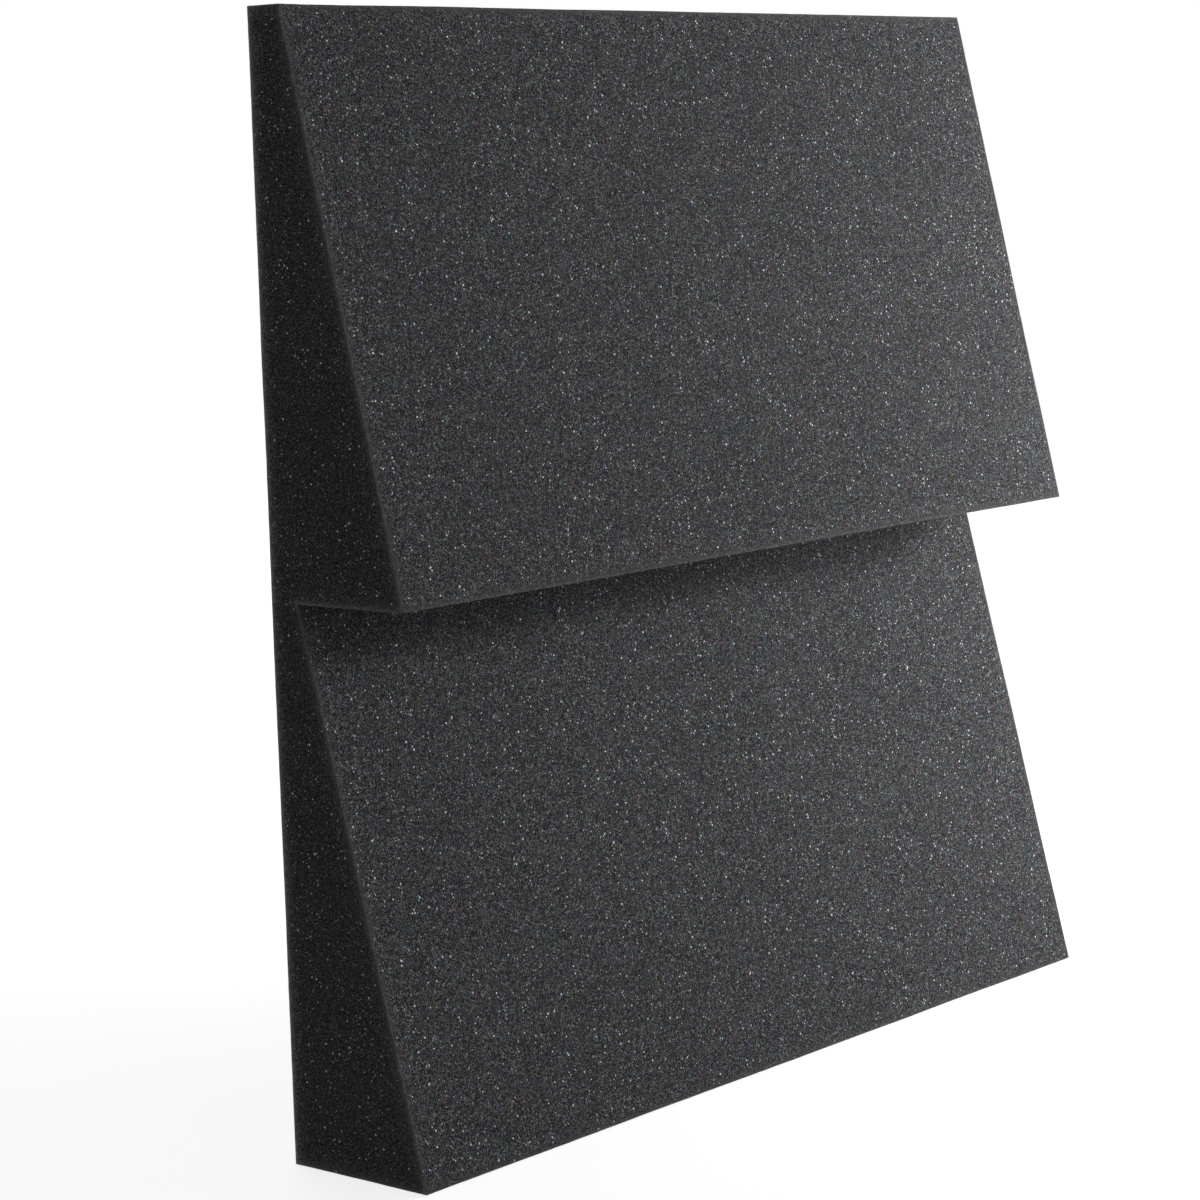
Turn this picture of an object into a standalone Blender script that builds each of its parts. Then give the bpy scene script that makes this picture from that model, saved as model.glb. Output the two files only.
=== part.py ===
"""Acoustic foam tile: one foam block with two sloping steps, and four adhesive pads on its back.

Metres. +X runs along the width, to the right for someone facing the steps. The steps face -Y and the flat
back faces +Y. +Z is up, as the tile hangs. The origin is the centre of the bottom face.
"""

from math import cos, pi, radians, sin

import bpy

COLLECTION = "acoustic_foam_tile"

# Outer size of the foam block
WIDTH = 0.3048
HEIGHT = 0.3048

# Depth of the block from its back face, at the corners of the stepped profile
BASE_DEPTH = 0.0478
ROOT_DEPTH = 0.0094
LIP_DEPTH = 0.0471
TOP_DEPTH = 0.0111

# Height of the ledge that divides the lower slope from the upper one
LEDGE_HEIGHT = 0.1508

# Cut foam has soft edges
EDGE_RADIUS = 0.0012
EDGE_SEGMENTS = 2

# Adhesive pads: their size, their distance from the block's outer edges, and the glue line under them
PAD_SIDE = 0.0254
PAD_THICKNESS = 0.0010
PAD_CORNER_RADIUS = 0.0020
PAD_CORNER_STEPS = 4
PAD_MARGIN = 0.0330
GLUE_LINE = 0.0003

BACK_Y = BASE_DEPTH / 2

FOAM = {"color": (0.062, 0.063, 0.066, 1.0), "roughness": 0.95}
PAD = {"color": (0.62, 0.61, 0.57, 1.0), "roughness": 0.55}


def clear_scene():
    """Removes the objects of the open file."""
    for obj in list(bpy.data.objects):
        bpy.data.objects.remove(obj, do_unlink=True)


def new_collection(name):
    """A collection in the scene, for the parts."""
    collection = bpy.data.collections.new(name)
    bpy.context.scene.collection.children.link(collection)
    return collection


def new_material(name, color, roughness):
    """A non-metallic material of one colour."""
    material = bpy.data.materials.new(name)
    material.use_nodes = True
    shader = material.node_tree.nodes["Principled BSDF"]
    shader.inputs["Base Color"].default_value = color
    shader.inputs["Roughness"].default_value = roughness
    shader.inputs["Metallic"].default_value = 0.0
    return material


def extruded_outline(name, outline, thickness, material, collection):
    """A closed flat outline in the object's XY plane, given its thickness along Z, half to each side."""
    curve = bpy.data.curves.new(name, "CURVE")
    curve.dimensions = "2D"
    curve.fill_mode = "BOTH"
    curve.extrude = thickness / 2
    spline = curve.splines.new("POLY")
    spline.points.add(len(outline) - 1)
    for point, (x, y) in zip(spline.points, outline):
        point.co = (x, y, 0, 1)
    spline.use_cyclic_u = True
    curve.materials.append(material)
    obj = bpy.data.objects.new(name, curve)
    collection.objects.link(obj)
    return obj


def soften_edges(obj, radius, segments):
    """Rounds the edges of an extruded outline, whose caps are welded to its sides first."""
    weld = obj.modifiers.new("Weld", "WELD")
    weld.merge_threshold = 0.00001
    bevel = obj.modifiers.new("Soft edges", "BEVEL")
    bevel.width = radius
    bevel.segments = segments
    bevel.limit_method = "ANGLE"
    bevel.angle_limit = radians(30)


def tile_profile():
    """The block's side view as (Y, Z) points, from the back's foot round by the slopes to the back's top."""
    return [
        (BACK_Y, 0.0),
        (BACK_Y - BASE_DEPTH, 0.0),
        (BACK_Y - ROOT_DEPTH, LEDGE_HEIGHT),
        (BACK_Y - LIP_DEPTH, LEDGE_HEIGHT),
        (BACK_Y - TOP_DEPTH, HEIGHT),
        (BACK_Y, HEIGHT),
    ]


def rounded_square(side, radius, steps):
    """A square outline about the origin, with an arc of so many steps at each corner."""
    reach = side / 2 - radius
    outline = []
    for quarter, (sx, sy) in enumerate(((1, 1), (-1, 1), (-1, -1), (1, -1))):
        for step in range(steps + 1):
            angle = (quarter + step / steps) * pi / 2
            outline.append((sx * reach + radius * cos(angle), sy * reach + radius * sin(angle)))
    return outline


def add_foam_tile(collection):
    """The foam block: its profile, carried along the whole width."""
    foam = new_material("foam", **FOAM)
    tile = extruded_outline("foam_tile", tile_profile(), WIDTH, foam, collection)
    tile.rotation_euler = (radians(90), 0, radians(90))
    soften_edges(tile, EDGE_RADIUS, EDGE_SEGMENTS)


def add_mounting_pads(collection):
    """Four square pads against the back, one near each corner."""
    adhesive = new_material("adhesive_pad", **PAD)
    outline = rounded_square(PAD_SIDE, PAD_CORNER_RADIUS, PAD_CORNER_STEPS)
    reach_x = WIDTH / 2 - PAD_MARGIN - PAD_SIDE / 2
    low_z = PAD_MARGIN + PAD_SIDE / 2
    for row, z in (("bottom", low_z), ("top", HEIGHT - low_z)):
        for column, x in (("left", -reach_x), ("right", reach_x)):
            name = f"mounting_pad_{row}_{column}"
            pad = extruded_outline(name, outline, PAD_THICKNESS, adhesive, collection)
            pad.rotation_euler = (radians(90), 0, 0)
            pad.location = (x, BACK_Y + GLUE_LINE + PAD_THICKNESS / 2, z)


def main():
    clear_scene()
    parts = new_collection(COLLECTION)
    add_foam_tile(parts)
    add_mounting_pads(parts)


main()
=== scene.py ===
"""Looks of the acoustic foam tile: a block of charcoal open-cell foam, and the tape squares on its back.

Metres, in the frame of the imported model: +X to the right along the width, -Y out of the stepped face, +Z up.
"""

import logging
import math
from collections.abc import Callable, Mapping, Sequence
from dataclasses import dataclass
from enum import Enum
from typing import Any, Union

import bpy
import numpy as np
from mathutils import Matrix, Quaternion, Vector


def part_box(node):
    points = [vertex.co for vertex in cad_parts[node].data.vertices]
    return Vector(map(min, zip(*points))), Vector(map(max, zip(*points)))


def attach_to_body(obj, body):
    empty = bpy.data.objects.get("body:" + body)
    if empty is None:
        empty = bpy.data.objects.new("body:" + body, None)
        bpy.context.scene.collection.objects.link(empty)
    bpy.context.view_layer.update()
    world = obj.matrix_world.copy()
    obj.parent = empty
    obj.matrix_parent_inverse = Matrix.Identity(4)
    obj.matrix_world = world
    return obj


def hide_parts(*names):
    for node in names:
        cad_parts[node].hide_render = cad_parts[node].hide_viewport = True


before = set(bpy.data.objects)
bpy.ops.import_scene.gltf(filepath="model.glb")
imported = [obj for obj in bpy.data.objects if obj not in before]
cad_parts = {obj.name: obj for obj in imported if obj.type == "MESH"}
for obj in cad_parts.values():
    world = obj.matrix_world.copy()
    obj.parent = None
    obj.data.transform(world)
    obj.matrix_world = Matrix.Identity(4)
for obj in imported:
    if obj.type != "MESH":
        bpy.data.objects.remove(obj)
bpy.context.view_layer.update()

log = logging.getLogger("acoustic_foam_tile")

Triple = tuple[float, float, float]
Colour = tuple[float, float, float, float]
Range = tuple[float, float]
MM = 0.001
WHITE: Colour = (1.0, 1.0, 1.0, 1.0)


def grey(value: float) -> Colour:
    """Returns a linear grey of this value."""
    return (value, value, value, 1.0)


# Node graphs


class Term:
    """A node's output that takes part in arithmetic: each operator adds the Math node that does it."""

    def __init__(self, graph: "Graph", socket: bpy.types.NodeSocket) -> None:
        """Wraps an output.

        Args:
            graph: the graph that the output is in.
            socket: the output.
        """
        self.graph = graph
        self.socket = socket

    def _math(self, operation: str, *values: "Value") -> "Term":
        """Returns the result of a Math node.

        Args:
            operation: the node's operation.
            *values: its values in order, as terms or numbers.

        Returns:
            The node's output.
        """
        node = self.graph.node("ShaderNodeMath", {"operation": operation}, dict(enumerate(values)))
        return Term(self.graph, node.outputs[0])

    def __add__(self, other: "Value") -> "Term":
        """Returns the sum."""
        return self._math("ADD", self, other)

    __radd__ = __add__

    def __mul__(self, other: "Value") -> "Term":
        """Returns the product."""
        return self._math("MULTIPLY", self, other)

    __rmul__ = __mul__

    def __sub__(self, other: "Value") -> "Term":
        """Returns this less the other."""
        return self._math("SUBTRACT", self, other)

    def __rsub__(self, other: "Value") -> "Term":
        """Returns the other less this."""
        return self._math("SUBTRACT", other, self)

    def __truediv__(self, other: "Value") -> "Term":
        """Returns this over the other."""
        return self._math("DIVIDE", self, other)

    def __pow__(self, other: "Value") -> "Term":
        """Returns this to the power of the other."""
        return self._math("POWER", self, other)

    def exp(self) -> "Term":
        """Returns e to the power of this."""
        return self._math("EXPONENT", self)

    def sine(self) -> "Term":
        """Returns the sine of this angle in radians."""
        return self._math("SINE", self)

    def larger(self, other: "Value") -> "Term":
        """Returns the larger of the two."""
        return self._math("MAXIMUM", self, other)

    def smaller(self, other: "Value") -> "Term":
        """Returns the smaller of the two."""
        return self._math("MINIMUM", self, other)

    def clipped(self) -> "Term":
        """Returns this held between 0 and 1."""
        return self.larger(0.0).smaller(1.0)

    def size(self) -> "Term":
        """Returns this without its sign."""
        return self._math("ABSOLUTE", self)

    def fade(self, reach: float) -> "Term":
        """Returns 1 where this is 0, and e times less after each reach."""
        return (self * (-1 / reach)).exp()

    def spot(self, reach: "Value", core: float) -> "Term":
        """Returns a spot about the places where this distance is 0.

        Args:
            reach: the distance at which the spot ends.
            core: how steep its edge is; above 1, its middle is flat.

        Returns:
            1 in the middle and 0 outside.
        """
        return (core - self / reach * core).clipped()

    def span(self, low: float, high: float, smooth: bool = False) -> "Term":
        """Returns 0 up to low, 1 from high, and a ramp between them.

        Args:
            low: where the ramp starts.
            high: where the ramp ends.
            smooth: whether the ramp eases in and out.

        Returns:
            The ramp's value.
        """
        kind = "SMOOTHSTEP" if smooth else "LINEAR"
        inputs = {"Value": self, "From Min": low, "From Max": high}
        return self.graph.term("ShaderNodeMapRange", {"interpolation_type": kind}, inputs)


Value = Union[Term, float]


class Graph:
    """A node tree under construction."""

    def __init__(self, tree: bpy.types.NodeTree) -> None:
        """Empties the tree.

        Args:
            tree: the tree to build in.
        """
        self.tree = tree
        tree.nodes.clear()

    def node(
        self,
        kind: str,
        settings: Mapping[str, Any] | None = None,
        inputs: Mapping[str | int, Any] | None = None,
    ) -> bpy.types.Node:
        """Adds a node.

        Args:
            kind: the node's type.
            settings: its properties, set before its inputs.
            inputs: values or terms for its inputs, by name or number.

        Returns:
            The new node.
        """
        made = self.tree.nodes.new(kind)
        for name, value in (settings or {}).items():
            setattr(made, name, value)
        for key, value in (inputs or {}).items():
            if isinstance(value, Term):
                self.tree.links.new(value.socket, made.inputs[key])
            else:
                made.inputs[key].default_value = value
        return made

    def term(
        self,
        kind: str,
        settings: Mapping[str, Any] | None = None,
        inputs: Mapping[str | int, Any] | None = None,
        output: str | int = 0,
    ) -> Term:
        """Adds a node and returns one of its outputs.

        Args:
            kind: the node's type.
            settings: its properties.
            inputs: values or terms for its inputs.
            output: the output's name or number.

        Returns:
            That output.
        """
        return Term(self, self.node(kind, settings, inputs).outputs[output])

    def place(self) -> Term:
        """Returns the place on the object in metres."""
        return self.term("ShaderNodeTexCoord", output="Object")

    def attribute(self, name: str, output: str = "Fac") -> Term:
        """Returns an attribute of the mesh, as a number or as another output of its node."""
        return self.term("ShaderNodeAttribute", {"attribute_name": name}, output=output)

    def split(self, vector: Term) -> tuple[Term, Term, Term]:
        """Returns a vector's or a colour's three parts.

        Args:
            vector: the vector or colour.

        Returns:
            Its parts in order.
        """
        node = self.node("ShaderNodeSeparateXYZ", inputs={0: vector})
        return Term(self, node.outputs[0]), Term(self, node.outputs[1]), Term(self, node.outputs[2])

    def join(self, x: Value, y: Value, z: Value) -> Term:
        """Returns the vector of three values.

        Args:
            x: the first part.
            y: the second part.
            z: the third part.

        Returns:
            The vector.
        """
        return self.term("ShaderNodeCombineXYZ", inputs={0: x, 1: y, 2: z})

    def vector(self, operation: str, *values: Any, output: int = 0) -> Term:
        """Returns the result of a Vector Math node.

        Args:
            operation: the node's operation.
            *values: its vectors in order; for SCALE, a vector and a number.
            output: the number of the output.

        Returns:
            The node's output.
        """
        keys = (0, 3) if operation == "SCALE" else range(3)
        return self.term("ShaderNodeVectorMath", {"operation": operation}, dict(zip(keys, values)), output)

    def blend(self, factor: Value, low: Any, high: Any) -> Term:
        """Returns a mix of two colours.

        Args:
            factor: the share of the second.
            low: the first colour.
            high: the second colour.

        Returns:
            The mixed colour.
        """
        return self.term("ShaderNodeMix", {"data_type": "RGBA"}, {0: factor, 6: low, 7: high}, 2)

    def noise(self, place: Term, length: float, detail: float = 0.0, output: int = 0) -> Term:
        """Returns 3D noise.

        Args:
            place: the coordinates in metres.
            length: the size of its features in metres.
            detail: how many finer layers it has.
            output: 0 for a value about 0.5, 1 for a colour.

        Returns:
            The noise.
        """
        inputs = {"Vector": place, "Scale": 1 / length, "Detail": detail}
        return self.term("ShaderNodeTexNoise", {"noise_dimensions": "3D"}, inputs, output)

    def voronoi(self, place: Term, length: float, feature: str = "F1") -> bpy.types.Node:
        """Returns the node of a 3D pattern of irregular cells.

        Args:
            place: the coordinates in metres.
            length: the size of a cell in metres.
            feature: what of the pattern is measured.

        Returns:
            The node.
        """
        settings = {"voronoi_dimensions": "3D", "feature": feature}
        return self.node("ShaderNodeTexVoronoi", settings, {"Vector": place, "Scale": 1 / length})

    def cells(self, place: Term, length: float, feature: str = "F1", output: str = "Distance") -> Term:
        """Returns a 3D pattern of irregular cells.

        Args:
            place: the coordinates in metres.
            length: the size of a cell in metres.
            feature: what of the pattern is measured.
            output: the name of the output.

        Returns:
            That output.
        """
        return Term(self, self.voronoi(place, length, feature).outputs[output])


def new_material(name: str, surface: Callable[[Graph], Term]) -> bpy.types.Material:
    """Makes a material.

    Args:
        name: the material's name.
        surface: adds the nodes to a graph and returns their shader.

    Returns:
        The material.
    """
    made = bpy.data.materials.new(name)
    made.use_nodes = True
    graph = Graph(made.node_tree)
    graph.node("ShaderNodeOutputMaterial", inputs={"Surface": surface(graph)})
    return made


class ShapeTree(Graph):
    """A Geometry Nodes tree with named inputs, which a modifier runs on an object of its own."""

    def __init__(self, name: str) -> None:
        """Starts a tree with a geometry output.

        Args:
            name: the tree's name.
        """
        super().__init__(bpy.data.node_groups.new(name, "GeometryNodeTree"))
        self.tree.interface.new_socket(name="Geometry", in_out="OUTPUT", socket_type="NodeSocketGeometry")
        self.entry = self.node("NodeGroupInput")
        self.values: dict[str, Any] = {}

    def given(self, name: str, value: Any) -> Term:
        """Adds a named input with its value.

        Args:
            name: the input's name.
            value: a number, a whole number or a material.

        Returns:
            The input as a term.
        """
        kinds = {int: "NodeSocketInt", float: "NodeSocketFloat"}
        kind = kinds.get(type(value), "NodeSocketMaterial")
        socket = self.tree.interface.new_socket(name=name, in_out="INPUT", socket_type=kind)
        self.values[socket.identifier] = value
        return Term(self, self.entry.outputs[socket.identifier])

    def grid(self, size: Triple, columns: Term, layers: Term, rows: Term) -> Term:
        """Returns a box whose sides are grids.

        Args:
            size: its size along X, Y and Z.
            columns: how many cells it has along X.
            layers: how many cells it has along Y.
            rows: how many cells it has along Z.

        Returns:
            The box's geometry.
        """
        inputs = {"Size": size, "Vertices X": columns + 1, "Vertices Y": layers + 1, "Vertices Z": rows + 1}
        return self.term("GeometryNodeMeshCube", inputs=inputs)

    def store(
        self, geometry: Term, name: str, value: Term, kind: str = "FLOAT", domain: str = "POINT"
    ) -> Term:
        """Stores a value on the geometry.

        Args:
            geometry: the geometry.
            name: the attribute's name.
            value: what it holds.
            kind: its data type.
            domain: what it is stored on.

        Returns:
            The geometry with the attribute.
        """
        settings = {"data_type": kind, "domain": domain}
        inputs = {"Geometry": geometry, "Name": name, "Value": value}
        return self.term("GeometryNodeStoreNamedAttribute", settings, inputs)

    def moved(self, geometry: Term, how: str, vector: Term) -> Term:
        """Returns the geometry with its points moved.

        Args:
            geometry: the geometry.
            how: Position to put them at the vector, Offset to move them by it.
            vector: the vector at each point.

        Returns:
            The moved geometry.
        """
        return self.term("GeometryNodeSetPosition", inputs={"Geometry": geometry, how: vector})

    def mesh(self, name: str, geometry: Term, material: Term) -> bpy.types.Object:
        """Ends the tree, runs it once and keeps the result as a plain mesh.

        Args:
            name: the object's name.
            geometry: the finished geometry.
            material: the input that holds its material.

        Returns:
            A new object at the origin.
        """
        smooth = self.term("GeometryNodeSetShadeSmooth", inputs={"Geometry": geometry})
        real = self.term("GeometryNodeRealizeInstances", inputs={"Geometry": smooth})
        dressed = self.term("GeometryNodeSetMaterial", inputs={"Geometry": real, "Material": material})
        self.node("NodeGroupOutput", inputs={0: dressed})
        obj = bpy.data.objects.new(name, bpy.data.meshes.new(name))
        bpy.context.scene.collection.objects.link(obj)
        modifier = obj.modifiers.new("Shape", "NODES")
        modifier.node_group = self.tree
        for identifier, value in self.values.items():
            modifier[identifier] = value
        evaluated = obj.evaluated_get(bpy.context.evaluated_depsgraph_get())
        made = bpy.data.meshes.new_from_object(evaluated)
        obj.modifiers.remove(modifier)
        obj.data = made
        made.name = name
        return obj


# Finishes


@dataclass(frozen=True)
class CutEdges:
    """What sets the foam's cut edges apart: a paler rim, partly their fuzz and partly painted light, strongest
    round the left cut; and a calmer grain.
    """

    light: float = 1.6
    rim_width: float = 1.6 * MM
    # Painted light: the rim is paler partly for the fuzz of the cut and partly as painted rim light; on the
    # left cut, painted light showing through near the back, the ledge and the foot makes it paler still.
    paleness_and_glow: float = 1.35
    left_painted_glow: float = 0.3
    back_painted_glow: float = 5.4
    ledge_painted_glow: float = 1.2
    foot_painted_glow: float = 1.8
    corner_reach: float = 3 * MM
    ledge_reach: float = 1.5 * MM
    calm_width: float = 1.9 * MM
    calming: float = 0.72

    def rim(self, inside: Term) -> Term:
        """Returns the rim's profile: 1 on the edge, with a steep fall and a gentle one behind it."""
        return inside.fade(self.rim_width) * 0.5 + inside.fade(self.rim_width / 4) * 0.5

    def gain(self, leftward: Term, to_back: Term, to_ledge: Term, to_foot: Term) -> Term:
        """Returns how much paler the rim is painted, for the fuzz of the cut and for painted light.

        Args:
            leftward: 1 on the left cut and 0 or less elsewhere.
            to_back: the distance to the back.
            to_ledge: the distance to the ledge's height.
            to_foot: the distance to the foot.

        Returns:
            The rim's gain.
        """
        near_back = to_back.fade(self.corner_reach)
        near_ledge = to_ledge.fade(self.ledge_reach)
        near_foot = to_foot.fade(self.corner_reach)
        extra = self.left_painted_glow + self.back_painted_glow * near_back
        extra = extra + self.ledge_painted_glow * near_ledge + self.foot_painted_glow * near_foot
        return self.paleness_and_glow + leftward.larger(0.0) * extra

    def calm(self, inside: Term) -> Term:
        """Returns how much of the grain is left: least on the edge, all of it a few millimetres inside."""
        return 1 - self.calming * (inside * inside * (-1 / self.calm_width**2)).exp()


@dataclass(frozen=True)
class PaintedGlints:
    """Painted glints: bright specks painted where a cell's wall would catch the light: most are faint and
    small, a few are bright or wide.
    """

    spacing: float = 0.80 * MM
    radius: float = 0.32 * MM
    least_size: float = 0.40
    even_size: float = 0.30
    rare_size: float = 0.50
    size_rarity: float = 4.0
    core: float = 1.6
    faintest: float = 0.02
    rarity: float = 6.0
    cluster: float = 5 * MM
    cluster_range: Range = (0.3, 0.7)
    strength: float = 2.1
    brightest: float = 0.9
    neutral: float = 0.60
    warmth: float = 0.42
    hue: Triple = (0.98, 0.82, 1.02)
    green: float = 0.36

    def flash(self, g: Graph, place: Term, bent: Term) -> tuple[Term, Term]:
        """Returns how bright the painted glints are, and a random value for each.

        Args:
            g: the graph.
            place: the coordinates in metres.
            bent: the coordinates that the foam's cells have.

        Returns:
            The brightness and the random value.
        """
        dots = g.voronoi(bent, self.spacing)
        pick, width, force = g.split(Term(g, dots.outputs["Color"]))
        scale = self.least_size + self.even_size * width + self.rare_size * width**self.size_rarity
        speck = Term(g, dots.outputs["Distance"]).spot(self.radius / self.spacing * scale, self.core)
        cluster = g.noise(place, self.cluster, 1.0).span(*self.cluster_range, smooth=True)
        return speck * (self.faintest + force**self.rarity) * (0.5 + 0.5 * cluster), pick

    def colour(self, g: Graph, pick: Term, other: Term) -> Term:
        """Returns a painted glint's colour, from pale blue by white to pale orange.

        Args:
            g: the graph.
            pick: a random value that sets it from blue to orange.
            other: a random value that leans it to green or violet.

        Returns:
            The colour.
        """
        warm = (pick - self.neutral) * self.warmth
        red, green, blue = self.hue
        return g.join(red + warm, green + self.green * other, blue - warm)


@dataclass(frozen=True)
class OpenCellFoam:
    """Cut charcoal foam: a fine grain of cells and struts with dark pits, painted glints, cut edges painted
    paler (partly their fuzz, partly painted light) and painted shade under the lip.

    Contrasts and lifts add up in the exponent of e that gives the brightness. The grain multiplies the
    contrasts of cells, struts, ridges and pits.
    """

    back: float
    ledge: float
    base: float = 0.0225
    cell: float = 0.60 * MM
    strut: float = 0.27 * MM
    turn: Triple = (0.52, 0.71, 0.34)
    warp: float = 0.18 * MM
    warp_length: float = 0.9 * MM
    pit_range: Range = (0.08, 0.50)
    ridge_range: Range = (0.0, 0.22)
    cell_contrast: float = 0.50
    strut_contrast: float = 1.25
    ridge_contrast: float = 0.25
    mean_ridge: float = 0.4
    pit_contrast: float = 1.5
    mean_pit: float = 0.25
    grain: float = 2.0
    side_grain: float = 1.45
    side_lift: float = 0.30
    calm_lift: float = 0.42
    blotch: float = 7 * MM
    blotch_contrast: float = 0.16
    drift: float = 60 * MM
    drift_contrast: float = 0.12
    # Painted shade under the lip: how dark, how far down and how soft its top edge is.
    lip_shade: float = 0.22
    lip_reach: float = 7 * MM
    lip_blur: float = 0.1 * MM
    hue: Triple = (0.98, 0.99, 1.04)
    tint: float = 0.62
    side_tint: float = 0.25
    cell_warmth: float = 0.6
    strut_warmth: float = 0.8
    cell_green: float = 0.9
    rim_warmth: float = 0.05
    relief: float = 0.16 * MM
    relief_strength: float = 0.55
    ridge_share: float = 0.55
    roughness: float = 0.96
    speck_gloss: float = 0.6
    specular: float = 0.1
    edges: CutEdges = CutEdges()
    painted_glints: PaintedGlints = PaintedGlints()
    edge_attribute: str = "edge_distance"
    side_attribute: str = "side"

    def bent_place(self, g: Graph, place: Term) -> Term:
        """Returns the cells' coordinates: turned away from the cuts, and bent so that no cell is regular.

        Args:
            g: the graph.
            place: the coordinates in metres.

        Returns:
            The new coordinates.
        """
        turned = g.term("ShaderNodeMapping", inputs={"Vector": place, "Rotation": self.turn})
        shift = g.vector("SCALE", g.noise(place, self.warp_length, 1.0, 1), self.warp)
        return g.vector("ADD", turned, shift)

    def under_lip(self, z: Term) -> Term:
        """Returns how much painted shade the lip lays on the cells of the lower slope: 1 just under it."""
        below = self.ledge - z
        return below.larger(0.0).fade(self.lip_reach) * below.span(-self.lip_blur, self.lip_blur)

    def surface(self, g: Graph) -> Term:
        """Adds the foam's nodes.

        Args:
            g: the graph.

        Returns:
            The shader.
        """
        place = g.place()
        _, y, z = g.split(place)
        bent = self.bent_place(g, place)
        inside = g.attribute(self.edge_attribute)
        facing = g.split(g.attribute(self.side_attribute, "Vector"))[0]
        side = facing.size()
        calm, rim = self.edges.calm(inside), self.edges.rim(inside)

        cell = g.voronoi(bent, self.cell)
        cell_a, cell_b, cell_c = g.split(Term(g, cell.outputs["Color"]))
        pit = 1 - Term(g, cell.outputs["Distance"]).span(*self.pit_range, smooth=True)
        strut_a, _, strut_c = g.split(g.cells(bent, self.strut, output="Color"))
        ridge = 1 - g.cells(bent, self.cell, "DISTANCE_TO_EDGE").span(*self.ridge_range, smooth=True)

        spread = (cell_a - 0.5) * self.cell_contrast + (strut_a - 0.5) * self.strut_contrast
        spread = spread + (ridge - self.mean_ridge) * self.ridge_contrast
        spread = spread - (pit - self.mean_pit) * self.pit_contrast
        grain = self.grain + (self.side_grain - self.grain) * side
        mottle = (g.noise(place, self.blotch, 1.0) - 0.5) * self.blotch_contrast
        mottle = mottle + (g.noise(place, self.drift) - 0.5) * self.drift_contrast
        lifted = spread * grain * calm + mottle + self.side_lift * side + self.calm_lift * (1 - calm)
        # Painted light: the cut edges' paler, warmer rim, partly their fuzz and partly painted rim light and
        # light showing through, most round the left cut.
        gain = self.edges.gain(0 - facing, self.back - y, (z - self.ledge).size(), z)
        light = 1 + self.edges.light * gain * rim
        # Painted shade: the lower slope is darkened just under the lip, where the lip's shade falls.
        shade = 1 - self.lip_shade * self.under_lip(z)
        tone = lifted.exp() * light * shade

        # Painted glints: coloured specks of painted highlight, added to the base colour where a cell's wall
        # would catch the light.
        faint, pick = self.painted_glints.flash(g, place, bent)
        flash = (faint * calm * self.painted_glints.strength).smaller(self.painted_glints.brightest)
        hues = (self.tint + (self.side_tint - self.tint) * side) * calm
        warm = ((cell_b - 0.5) * self.cell_warmth + (strut_c - 0.5) * self.strut_warmth) * hues
        warm = warm + self.rim_warmth * rim
        red, green, blue = self.hue
        tint = g.join(red + warm, green + (cell_c - 0.5) * self.cell_green * hues, blue - warm)
        body = g.vector("SCALE", tint, self.base * tone)
        shine = g.vector("SCALE", self.painted_glints.colour(g, pick, cell_c), flash)

        height = ridge * self.ridge_share + strut_a * (1 - self.ridge_share)
        bump = {"Strength": self.relief_strength * calm, "Distance": self.relief, "Height": height}
        return g.term(
            "ShaderNodeBsdfPrincipled",
            inputs={
                "Base Color": g.vector("ADD", body, shine),
                "Roughness": self.roughness - self.speck_gloss * flash,
                "Specular IOR Level": self.specular,
                "Normal": g.term("ShaderNodeBump", inputs=bump),
            },
        )


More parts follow.
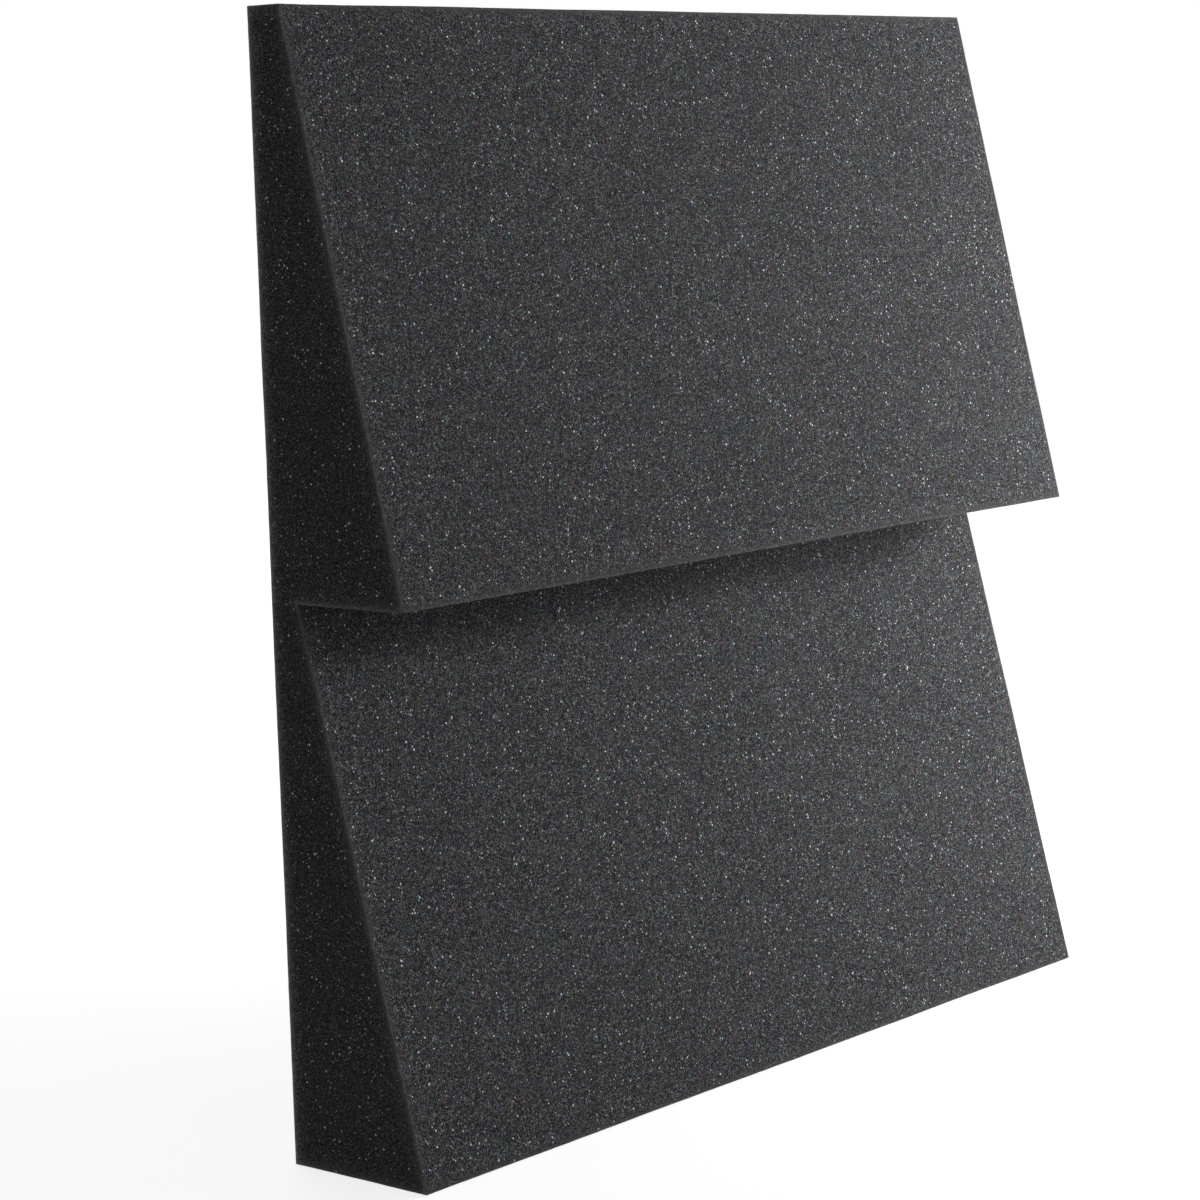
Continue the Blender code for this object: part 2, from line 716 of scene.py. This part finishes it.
@dataclass(frozen=True)
class TapeSquare:
    """Double-sided foam tape: a cream core between two clear films of glue, with bubbles and foam crumbs."""

    core: Colour = (0.60, 0.585, 0.53, 1.0)
    film: Colour = (0.68, 0.67, 0.62, 1.0)
    crumb: Colour = (0.05, 0.05, 0.053, 1.0)
    shade: float = 0.74
    mottle: float = 2.6 * MM
    mottle_contrast: float = 0.40
    pore: float = 0.30 * MM
    pore_range: Range = (0.15, 0.55)
    pore_dark: float = 0.45
    bubble: float = 1.9 * MM
    bubble_range: Range = (0.16, 0.34)
    bubble_patch: float = 7 * MM
    patch_range: Range = (0.40, 0.60)
    bubble_dark: float = 0.22
    crumb_spacing: float = 2.4 * MM
    crumb_reach: float = 0.03
    crumb_spread: float = 0.10
    crumb_core: float = 1.5
    crumb_range: Range = (0.35, 0.45)
    crumb_cover: float = 0.9
    film_relief: float = 0.8
    bubble_relief: float = 0.5
    relief: float = 0.14 * MM
    relief_strength: float = 0.7
    roughness: float = 0.82
    film_gloss: float = 0.42
    bubble_roughness: float = 0.2
    coat: float = 0.35
    coat_roughness: float = 0.18
    film_attribute: str = "glue_film"

    def surface(self, g: Graph) -> Term:
        """Adds the tape's nodes.

        Args:
            g: the graph.

        Returns:
            The shader.
        """
        place = g.place()
        film = g.attribute(self.film_attribute)
        bubble = 1 - g.cells(place, self.bubble).span(*self.bubble_range, smooth=True)
        patch = g.noise(place, self.bubble_patch, 1.0).span(*self.patch_range, smooth=True)
        seen = bubble * patch * film
        pore = g.cells(place, self.pore).span(*self.pore_range, smooth=True)
        mottle = g.noise(place, self.mottle, 2.0)

        crumbs = g.voronoi(place, self.crumb_spacing)
        size, pick, _ = g.split(Term(g, crumbs.outputs["Color"]))
        reach = self.crumb_reach + self.crumb_spread * size
        crumb = Term(g, crumbs.outputs["Distance"]).spot(reach, self.crumb_core)
        crumb = crumb * pick.span(*self.crumb_range) * film

        body = g.blend(crumb * self.crumb_cover, g.blend(film, self.core, self.film), self.crumb)
        shade = self.shade + self.mottle_contrast * mottle
        shade = shade * (1 - (1 - film) * (1 - pore) * self.pore_dark) * (1 - self.bubble_dark * seen)
        height = pore * (1 - film) + self.film_relief * film * mottle - self.bubble_relief * seen + crumb
        bump = {"Strength": self.relief_strength, "Distance": self.relief, "Height": height}
        return g.term(
            "ShaderNodeBsdfPrincipled",
            inputs={
                "Base Color": g.vector("SCALE", body, shade),
                "Roughness": self.roughness - self.film_gloss * film + self.bubble_roughness * seen,
                "Coat Weight": self.coat * film * (1 - seen),
                "Coat Roughness": self.coat_roughness,
                "Normal": g.term("ShaderNodeBump", inputs=bump),
            },
        )


# The foam block


class CutFace(Enum):
    """The flat cuts that bound the block."""

    LOWER_SLOPE = 0
    UPPER_SLOPE = 1
    LEDGE = 2
    LEFT = 3
    RIGHT = 4
    BOTTOM = 5
    TOP = 6
    BACK_LEFT = 7
    BACK_RIGHT = 8


@dataclass(frozen=True)
class MapPatch:
    """Where a cut lies on the block's texture map, in pixels, and how it is turned there."""

    corner: tuple[float, float]
    density: tuple[float, float]
    start: Triple
    across: Triple
    along: Triple

    def place(self, points: np.ndarray, side: float) -> np.ndarray:
        """Returns the map coordinates of points on the cut.

        Args:
            points: their places, one row each.
            side: the map's side in pixels.

        Returns:
            Their coordinates from 0 to 1, one row each.
        """
        rows = points - np.array(self.start)
        found = np.stack([rows @ np.array(self.across), rows @ np.array(self.along)], 1)
        return (np.array(self.corner) + found * np.array(self.density) / MM) / side


@dataclass
class FoamBlock:
    """The foam: a back slab with two wedges, each sloping out to a lip."""

    width: float
    height: float
    back: float
    base_depth: float = 47.8 * MM
    root_depth: float = 9.4 * MM
    lip_depth: float = 47.1 * MM
    top_depth: float = 11.1 * MM
    ledge_height: float = 150.8 * MM
    columns: int = 176
    layers: int = 26
    lower_rows: int = 96
    ledge_rows: int = 26
    upper_rows: int = 98
    crowding: float = 0.84
    softening: int = 1
    cut_wave: float = 0.22 * MM
    wave_length: float = 45 * MM
    cut_ripple: float = 0.07 * MM
    ripple_length: float = 3.2 * MM
    cut_attribute: str = "cut"
    map_name: str = "OFBake"
    map_side: float = 1024.0

    def eased(self, t: Term) -> Term:
        """Returns 0 to 1 with its steps crowded towards both ends, where the edges need them."""
        return t - self.crowding / (2 * math.pi) * (t * (2 * math.pi)).sine()

    def build(self, name: str, finish: OpenCellFoam) -> bpy.types.Object:
        """Makes the dressed block.

        Args:
            name: the object's name.
            finish: the foam's finish.

        Returns:
            The block.
        """
        tree = ShapeTree("stepped foam block")
        width = tree.given("Width", self.width)
        height = tree.given("Height", self.height)
        back = tree.given("Back", self.back)
        base = tree.given("Base Depth", self.base_depth)
        root = tree.given("Root Depth", self.root_depth)
        lip = tree.given("Lip Depth", self.lip_depth)
        top = tree.given("Top Depth", self.top_depth)
        ledge = tree.given("Ledge Height", self.ledge_height)
        columns = tree.given("Columns", self.columns)
        layers = tree.given("Layers", self.layers)
        lower = tree.given("Lower Rows", self.lower_rows)
        middle = tree.given("Ledge Rows", self.ledge_rows)
        upper = tree.given("Upper Rows", self.upper_rows)
        softening = tree.given("Softening", self.softening)
        wave = tree.given("Cut Wave", self.cut_wave)
        ripple = tree.given("Cut Ripple", self.cut_ripple)
        material = tree.given("Material", new_material("charcoal_foam", finish.surface))

        rows = lower + middle + upper
        block = tree.grid((1, 1, 1), columns, layers, rows)
        position = tree.term("GeometryNodeInputPosition")
        normal = tree.term("GeometryNodeInputNormal")
        block = tree.store(block, finish.side_attribute, normal, "FLOAT_VECTOR", "FACE")

        x, y, z = tree.split(position)
        row = (z + 0.5) * rows
        rise = self.eased((row / lower).smaller(1.0))
        step = self.eased(((row - lower) / middle).clipped())
        slope = self.eased(((row - lower - middle) / upper).larger(0.0))
        depth = base - (base - root) * rise + (lip - root) * step - (lip - top) * slope
        front_z = ledge * rise + (height - ledge) * slope
        fan = lip - root
        back_z = ledge * rise + fan * step + (height - ledge - fan) * slope
        inwards = self.eased(y + 0.5)
        cut = tree.join(
            width * (self.eased(x + 0.5) - 0.5),
            back - depth * (1 - inwards),
            front_z + (back_z - front_z) * inwards,
        )
        block = tree.moved(block, "Position", cut)
        block = tree.store(block, self.cut_attribute, position, "FLOAT_VECTOR")

        inputs = {"Value": position, "Iterations": softening}
        soft = tree.term("GeometryNodeBlurAttribute", {"data_type": "FLOAT_VECTOR"}, inputs)
        block = tree.moved(block, "Position", soft)

        swell = (tree.noise(position, self.wave_length, 1.0) - 0.5) * wave
        swell = swell + (tree.noise(position, self.ripple_length, 1.0) - 0.5) * ripple
        block = tree.moved(block, "Offset", tree.vector("SCALE", normal, swell * 2))
        made = tree.mesh(name, block, material)
        self.mark_edges(made.data, finish.edge_attribute)
        self.lay_out_map(made.data, finish.side_attribute)
        return made

    def profile(self) -> np.ndarray:
        """Returns the profile's corners as (Y, Z) rows: foot, base, root, lip, top front and top back."""
        depths = (0.0, self.base_depth, self.root_depth, self.lip_depth, self.top_depth, 0.0)
        heights = (0.0, 0.0, self.ledge_height, self.ledge_height, self.height, self.height)
        return np.array([(self.back - depth, z) for depth, z in zip(depths, heights)])

    def mark_edges(self, mesh: bpy.types.Mesh, name: str) -> None:
        """Stores how far each point lies from the nearest outer edge of the cuts.

        Args:
            mesh: the block's mesh, with its unsoftened places.
            name: the attribute's name.
        """
        cut = self.cut_places(mesh)
        x, section = cut[:, 0], cut[:, 1:]
        corners = self.profile()
        to_outline = np.full(len(x), np.inf)
        for start, end in zip(corners, np.roll(corners, -1, 0)):
            reach = end - start
            share = np.clip((section - start) @ reach / (reach @ reach), 0, 1)
            gap = section - start - share[:, None] * reach
            to_outline = np.minimum(to_outline, np.linalg.norm(gap, axis=1))
        distance = np.hypot(self.width / 2 - np.abs(x), to_outline)
        inner_corner = 2
        for corner in np.delete(corners, inner_corner, 0):
            distance = np.minimum(distance, np.linalg.norm(section - corner, axis=1))
        mesh.attributes.new(name, "FLOAT", "POINT").data.foreach_set("value", distance.astype(np.float32))

    def cut_places(self, mesh: bpy.types.Mesh) -> np.ndarray:
        """Returns the unsoftened place of each point of the mesh, one row each."""
        cut = np.empty(len(mesh.vertices) * 3, np.float32)
        mesh.attributes[self.cut_attribute].data.foreach_get("vector", cut)
        return cut.reshape(-1, 3)

    def patches(self) -> dict[CutFace, MapPatch]:
        """Returns the place of each cut on the texture map.

        The slopes get the most pixels and the back the fewest. The right cut is turned half round, so that
        its steps fit into the left one's.
        """
        left, foot = -self.width / 2, (0.0, self.back, 0.0)
        base_y, root_y = self.back - self.base_depth, self.back - self.root_depth
        lip_y, top_y = self.back - self.lip_depth, self.back - self.top_depth
        lower = Vector((0, root_y - base_y, self.ledge_height)).normalized()
        upper = Vector((0, top_y - lip_y, self.height - self.ledge_height)).normalized()
        base, lip = (left, base_y, 0), (left, lip_y, self.ledge_height)
        right_hand, up, out, down, in_ = (1, 0, 0), (0, 0, 1), (0, -1, 0), (0, 0, -1), (0, 1, 0)
        slope, side, back, ledge = (2.38, 2.38), (2.2, 2.2), (1.65, 1.65), (0.92, 1.7)
        turned = (0, self.back, 2 * self.ledge_height - 1.4 * MM)
        return {
            CutFace.LOWER_SLOPE: MapPatch((4, 4), slope, base, right_hand, tuple(lower)),
            CutFace.UPPER_SLOPE: MapPatch((4, 380), slope, lip, right_hand, tuple(upper)),
            CutFace.LEDGE: MapPatch((736, 690), ledge, (left, lip_y, 0), right_hand, in_),
            CutFace.LEFT: MapPatch((736, 14.5), side, foot, out, up),
            CutFace.RIGHT: MapPatch((872.4, 14.5), side, turned, in_, down),
            CutFace.BOTTOM: MapPatch((878, 4), side, (left, self.back, 0), out, right_hand),
            CutFace.TOP: MapPatch((988, 4), side, (left, self.back, 0), out, right_hand),
            CutFace.BACK_LEFT: MapPatch((4, 763), back, (left, 0, 0), up, right_hand),
            CutFace.BACK_RIGHT: MapPatch((512, 763), back, (0, 0, 0), up, right_hand),
        }

    def faces_of_cuts(self, side: np.ndarray, points: np.ndarray) -> dict[CutFace, np.ndarray]:
        """Returns which faces of the mesh lie on each cut.

        Args:
            side: the direction of each face on the plain box, one row each.
            points: the unsoftened corners of each face.

        Returns:
            For each cut, whether each face lies on it.
        """
        mostly, flat = 0.5, 1e-6
        middle = points.mean(1)
        front = side[:, 1] < -mostly
        back = side[:, 1] > mostly
        level = np.ptp(points[:, :, 2], axis=1) < flat
        return {
            CutFace.LEFT: side[:, 0] < -mostly,
            CutFace.RIGHT: side[:, 0] > mostly,
            CutFace.BOTTOM: side[:, 2] < -mostly,
            CutFace.TOP: side[:, 2] > mostly,
            CutFace.BACK_LEFT: back & (middle[:, 0] < 0),
            CutFace.BACK_RIGHT: back & (middle[:, 0] > 0),
            CutFace.LEDGE: front & level,
            CutFace.LOWER_SLOPE: front & ~level & (middle[:, 2] < self.ledge_height),
            CutFace.UPPER_SLOPE: front & ~level & (middle[:, 2] > self.ledge_height),
        }

    def lay_out_map(self, mesh: bpy.types.Mesh, side_attribute: str) -> None:
        """Gives the mesh its texture map and drops its unsoftened places, which nothing needs after that.

        Args:
            mesh: the block's mesh, all of four-sided faces.
            side_attribute: the attribute with the direction of each face on the plain box.
        """
        count = len(mesh.polygons)
        side = np.empty(count * 3, np.float32)
        mesh.attributes[side_attribute].data.foreach_get("vector", side)
        corner = np.empty(len(mesh.loops), np.int32)
        mesh.loops.foreach_get("vertex_index", corner)
        points = self.cut_places(mesh)[corner].reshape(count, -1, 3)
        chosen = self.faces_of_cuts(side.reshape(-1, 3), points)
        place = np.zeros((count, points.shape[1], 2))
        for cut, patch in self.patches().items():
            flat = patch.place(points[chosen[cut]].reshape(-1, 3), self.map_side)
            place[chosen[cut]] = flat.reshape(-1, points.shape[1], 2)
        layer = mesh.uv_layers.new(name=self.map_name)
        layer.uv.foreach_set("vector", place.astype(np.float32).ravel())
        mesh.attributes.remove(mesh.attributes[self.cut_attribute])


# The tape squares


@dataclass
class TapePad:
    """A square of double-sided tape: a core that bulges a little at its rim, between two thinner films."""

    low: Vector
    high: Vector
    glue_line: float = 0.3 * MM
    corner: float = 2.0 * MM
    cells_across: int = 34
    layers: int = 8
    film: float = 0.14 * MM
    inset: float = 0.18 * MM
    ripple: float = 0.16 * MM
    ripple_length: float = 6 * MM

    def folded(self, value: Term, half: Term, reach: Term) -> tuple[Term, Term]:
        """Returns a coordinate's straight part and what it holds beyond it, at the corner.

        Args:
            value: the coordinate, from -1 to 1.
            half: half the square's side.
            reach: how far the straight part goes.

        Returns:
            The straight part and the rest.
        """
        scaled = value * half
        straight = scaled.smaller(reach).larger(0 - reach)
        return straight, scaled - straight

    def build(self, name: str, material: bpy.types.Material, film_attribute: str) -> bpy.types.Object:
        """Makes the dressed square.

        Args:
            name: the object's name.
            material: the tape's material.
            film_attribute: the attribute that marks the glue films.

        Returns:
            The tape square.
        """
        tree = ShapeTree("tape square")
        centre = (self.low + self.high) / 2
        half = tree.given("Half Side", (self.high.x - self.low.x) / 2)
        thickness = tree.given("Thickness", self.high.y - self.low.y + self.glue_line)
        radius = tree.given("Corner Radius", self.corner)
        film = tree.given("Film", self.film)
        inset = tree.given("Film Inset", self.inset)
        across = tree.given("Cells Across", self.cells_across)
        layers = tree.given("Layers", self.layers)
        skin = tree.given("Material", material)

        sheet = tree.grid((2, 1, 2), across, layers, across)
        position = tree.term("GeometryNodeInputPosition")
        x, y, z = tree.split(position)
        step = (y + 0.5) * layers
        last = self.layers - 1
        depth = step.span(0, 1) * film + step.span(1, last) * (thickness - 2 * film)
        depth = depth + step.span(last, self.layers) * film
        core = step.span(0.5, 2, smooth=True) * (1 - step.span(last - 1, last + 0.5, smooth=True))

        reach = half - radius
        straight_x, over_x = self.folded(x, half, reach)
        straight_z, over_z = self.folded(z, half, reach)
        above_zero = 1e-12
        length = (over_x * over_x + over_z * over_z + above_zero) ** 0.5
        keep = over_x.size().larger(over_z.size()) / length
        shrink = 1 - inset * (1 - core) / half
        out = tree.join(
            (straight_x + over_x * keep) * shrink + centre.x,
            depth + (self.low.y - self.glue_line),
            (straight_z + over_z * keep) * shrink + centre.z,
        )
        is_film = (1 - step.span(0.9, 1.1)).larger(step.span(last - 0.1, last + 0.1))
        sheet = tree.store(sheet, film_attribute, is_film)
        sheet = tree.moved(sheet, "Position", out)
        ripple = (tree.noise(position, self.ripple_length, 1.0) - 0.5) * self.ripple
        lift = tree.vector("SCALE", tree.term("GeometryNodeInputNormal"), ripple)
        return tree.mesh(name, tree.moved(sheet, "Offset", lift), skin)


# Studio


@dataclass(frozen=True)
class Softbox:
    """A rectangular lamp that looks at a point."""

    name: str
    place: Triple
    target: Triple
    size: tuple[float, float]
    power: float

    def build(self) -> None:
        """Adds the lamp to the scene."""
        data = bpy.data.lights.new(self.name, "AREA")
        data.shape = "RECTANGLE"
        data.size, data.size_y = self.size
        data.energy = self.power
        lamp = bpy.data.objects.new(self.name, data)
        lamp.location = self.place
        lamp.rotation_euler = (Vector(self.target) - Vector(self.place)).to_track_quat("-Z", "Y").to_euler()
        lamp.visible_camera = False
        bpy.context.scene.collection.objects.link(lamp)


@dataclass
class Studio:
    """A pale floor, a white surround, soft lamps and the camera at the photograph's viewpoint."""

    eye: Triple = (-0.75849, -0.60780, 0.26377)
    look: Triple = (0.7590, 0.6417, -0.1103)
    roll: float = math.radians(-1.76)
    focal_pixels: float = 3364.0
    picture_side: float = 1200.0
    sensor: float = 36.0
    shift: tuple[float, float] = (-0.0157, -0.0590)
    clip: Range = (0.01, 50.0)
    ambient: float = 0.235
    floor_radius: float = 3.0
    floor_sides: int = 96
    floor_gap: float = 0.3 * MM
    floor_fade: Range = (0.9, 2.6)
    floor_seen: float = 0.90
    floor_bounce: float = 0.25
    floor_roughness: float = 0.9
    floor_share: float = 0.60
    floor_glow: float = 1.35
    lamps: Sequence[Softbox] = (
        Softbox("key", (0.45, -0.25, 0.26), (0.0, 0.0, 0.26), (0.20, 0.07), 1.30),
        Softbox("high_front", (0.60, -0.50, 0.40), (0.0, 0.0, 0.40), (0.20, 0.07), 1.90),
        Softbox("low_side", (0.45, -0.15, 0.15), (0.0, 0.0, 0.15), (0.20, 0.07), 1.60),
        Softbox("back_fill", (0.9, 1.5, 0.9), (0.0, 0.0, 0.15), (1.2, 1.2), 15.0),
    )

    def seen_directly(self, g: Graph) -> Term:
        """Returns 1 for rays that show the surround, straight or in gloss or glass, and 0 for its light."""
        path = g.node("ShaderNodeLightPath")
        camera, glossy = Term(g, path.outputs["Is Camera Ray"]), Term(g, path.outputs["Is Glossy Ray"])
        return camera.larger(glossy).larger(Term(g, path.outputs["Is Transmission Ray"]))

    def surround(self) -> None:
        """Sets the world: white where it is seen, dim where it lights."""
        world = bpy.data.worlds.new("white_surround")
        world.use_nodes = True
        g = Graph(world.node_tree)
        seen = self.seen_directly(g)
        strength = self.ambient + (1 - self.ambient) * seen
        light = g.term("ShaderNodeBackground", inputs={"Color": WHITE, "Strength": strength})
        g.node("ShaderNodeOutputWorld", inputs={"Surface": light})
        bpy.context.scene.world = world

    def floor_surface(self, g: Graph) -> Term:
        """Adds the floor's nodes: pale, with the tile's shadow, and fading to the white surround.

        Args:
            g: the graph.

        Returns:
            The shader.
        """
        seen = self.seen_directly(g)
        far = g.vector("LENGTH", g.place(), output=1).span(*self.floor_fade, smooth=True)
        colour = g.blend(seen, grey(self.floor_bounce), grey(self.floor_seen))
        paint = {"Base Color": colour, "Roughness": self.floor_roughness, "Specular IOR Level": 0.0}
        matt = g.term("ShaderNodeBsdfPrincipled", inputs=paint)
        strength = self.floor_glow + (1 - self.floor_glow) * far
        glow = g.term("ShaderNodeEmission", inputs={"Color": WHITE, "Strength": strength})
        share = seen * (self.floor_share + (1 - self.floor_share) * far)
        return g.term("ShaderNodeMixShader", inputs={0: share, 1: matt, 2: glow})

    def floor(self) -> None:
        """Adds the floor, a wide disc just under the tile."""
        mesh = bpy.data.meshes.new("floor")
        turns = np.linspace(0, 2 * math.pi, self.floor_sides, endpoint=False)
        reach = self.floor_radius
        rim = [(reach * math.cos(turn), reach * math.sin(turn), -self.floor_gap) for turn in turns]
        mesh.from_pydata(rim, [], [tuple(range(len(rim)))])
        mesh.materials.append(new_material("pale_floor", self.floor_surface))
        made = bpy.data.objects.new("floor", mesh)
        bpy.context.scene.collection.objects.link(made)

    def camera(self) -> None:
        """Sets the camera where the photograph was taken from."""
        data = bpy.data.cameras.new("camera")
        data.sensor_width = self.sensor
        data.lens = self.focal_pixels / self.picture_side * self.sensor
        data.shift_x, data.shift_y = self.shift
        data.clip_start, data.clip_end = self.clip
        made = bpy.data.objects.new("camera", data)
        made.location = self.eye
        turn = Vector(self.look).to_track_quat("-Z", "Y") @ Quaternion((0, 0, 1), self.roll)
        made.rotation_euler = turn.to_euler()
        bpy.context.scene.collection.objects.link(made)
        bpy.context.scene.camera = made

    def build(self) -> None:
        """Makes the whole studio."""
        bpy.context.scene.view_settings.view_transform = "Standard"
        self.camera()
        self.surround()
        self.floor()
        for lamp in self.lamps:
            lamp.build()


# Assembly


def attach(piece: bpy.types.Object, node: str) -> None:
    """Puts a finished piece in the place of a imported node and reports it.

    Args:
        piece: the piece.
        node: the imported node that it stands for.
    """
    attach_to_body(piece, "root")
    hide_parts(node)
    log.info("%s: %d faces", piece.name, len(piece.data.polygons))


def main() -> None:
    """Builds the studio, the foam and the tape squares."""
    logging.basicConfig(level=logging.INFO, format="%(message)s")
    Studio().build()

    low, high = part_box("foam_tile")
    block = FoamBlock(width=high.x - low.x, height=high.z, back=high.y)
    foam = block.build("foam_block", OpenCellFoam(back=block.back, ledge=block.ledge_height))
    attach(foam, "foam_tile")

    tape = TapeSquare()
    tape_material = new_material("foam_tape", tape.surface)
    for node in sorted(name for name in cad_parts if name.startswith("mounting_pad")):
        pad = TapePad(*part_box(node))
        name = node.replace("mounting_pad", "tape_square")
        attach(pad.build(name, tape_material, tape.film_attribute), node)


if __name__ == "__main__":
    main()
